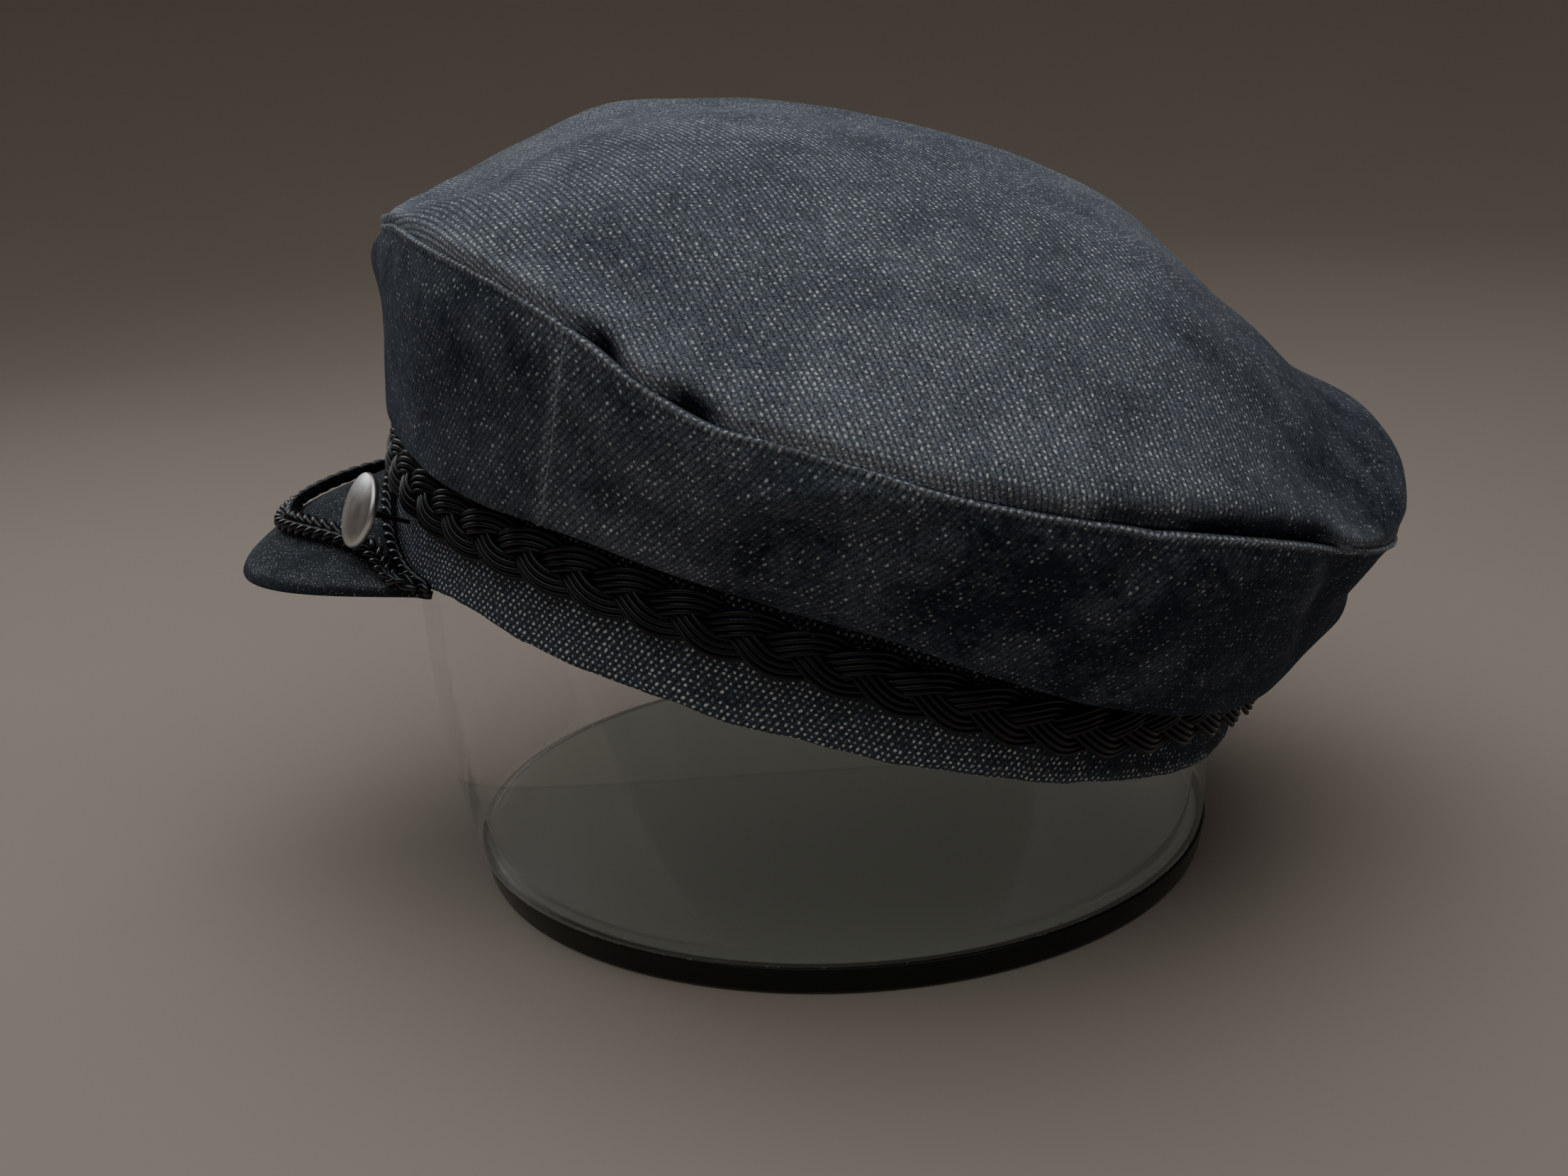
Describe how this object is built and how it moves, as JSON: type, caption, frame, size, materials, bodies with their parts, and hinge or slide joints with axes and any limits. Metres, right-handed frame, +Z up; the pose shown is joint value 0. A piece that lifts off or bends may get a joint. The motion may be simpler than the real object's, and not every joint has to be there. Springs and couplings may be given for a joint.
{
  "type": "greek fisherman cap on clear glass stand",
  "caption": "Soft denim fisherman's cap with a low domed crown, plaited band cord, short corded peak and side buttons, resting tipped back on a round clear glass stand.",
  "frame": {"origin": "middle of the stand's round base on the floor", "axes": "+Z up, the peak points along -Y, the wearer's left side is +X"},
  "size_m": [0.2266, 0.2557, 0.166],
  "materials": {
    "denim": "washed navy denim twill",
    "band_denim": "navy denim twill over a stiff band",
    "peak_denim": "navy denim twill over a stiff board",
    "plait_cord": "black rayon cord, flat plait",
    "twist_cord": "black twisted rayon cord",
    "polished_metal": "polished",
    "clear_glass": "clear, slightly green",
    "base_glass": "thick dark green glass"
  },
  "bodies": {
    "root": {"stand_wall": "clear_glass", "stand_base": "base_glass", "crown_top": "denim", "front_panel": "denim", "back_panel_left": "denim", "back_panel_right": "denim", "band": "band_denim", "plait": "plait_cord", "peak": "peak_denim", "front_cord": "twist_cord", "peak_cord": "twist_cord", "button_left": "polished_metal", "button_right": "polished_metal"}
  },
  "joints": []
}
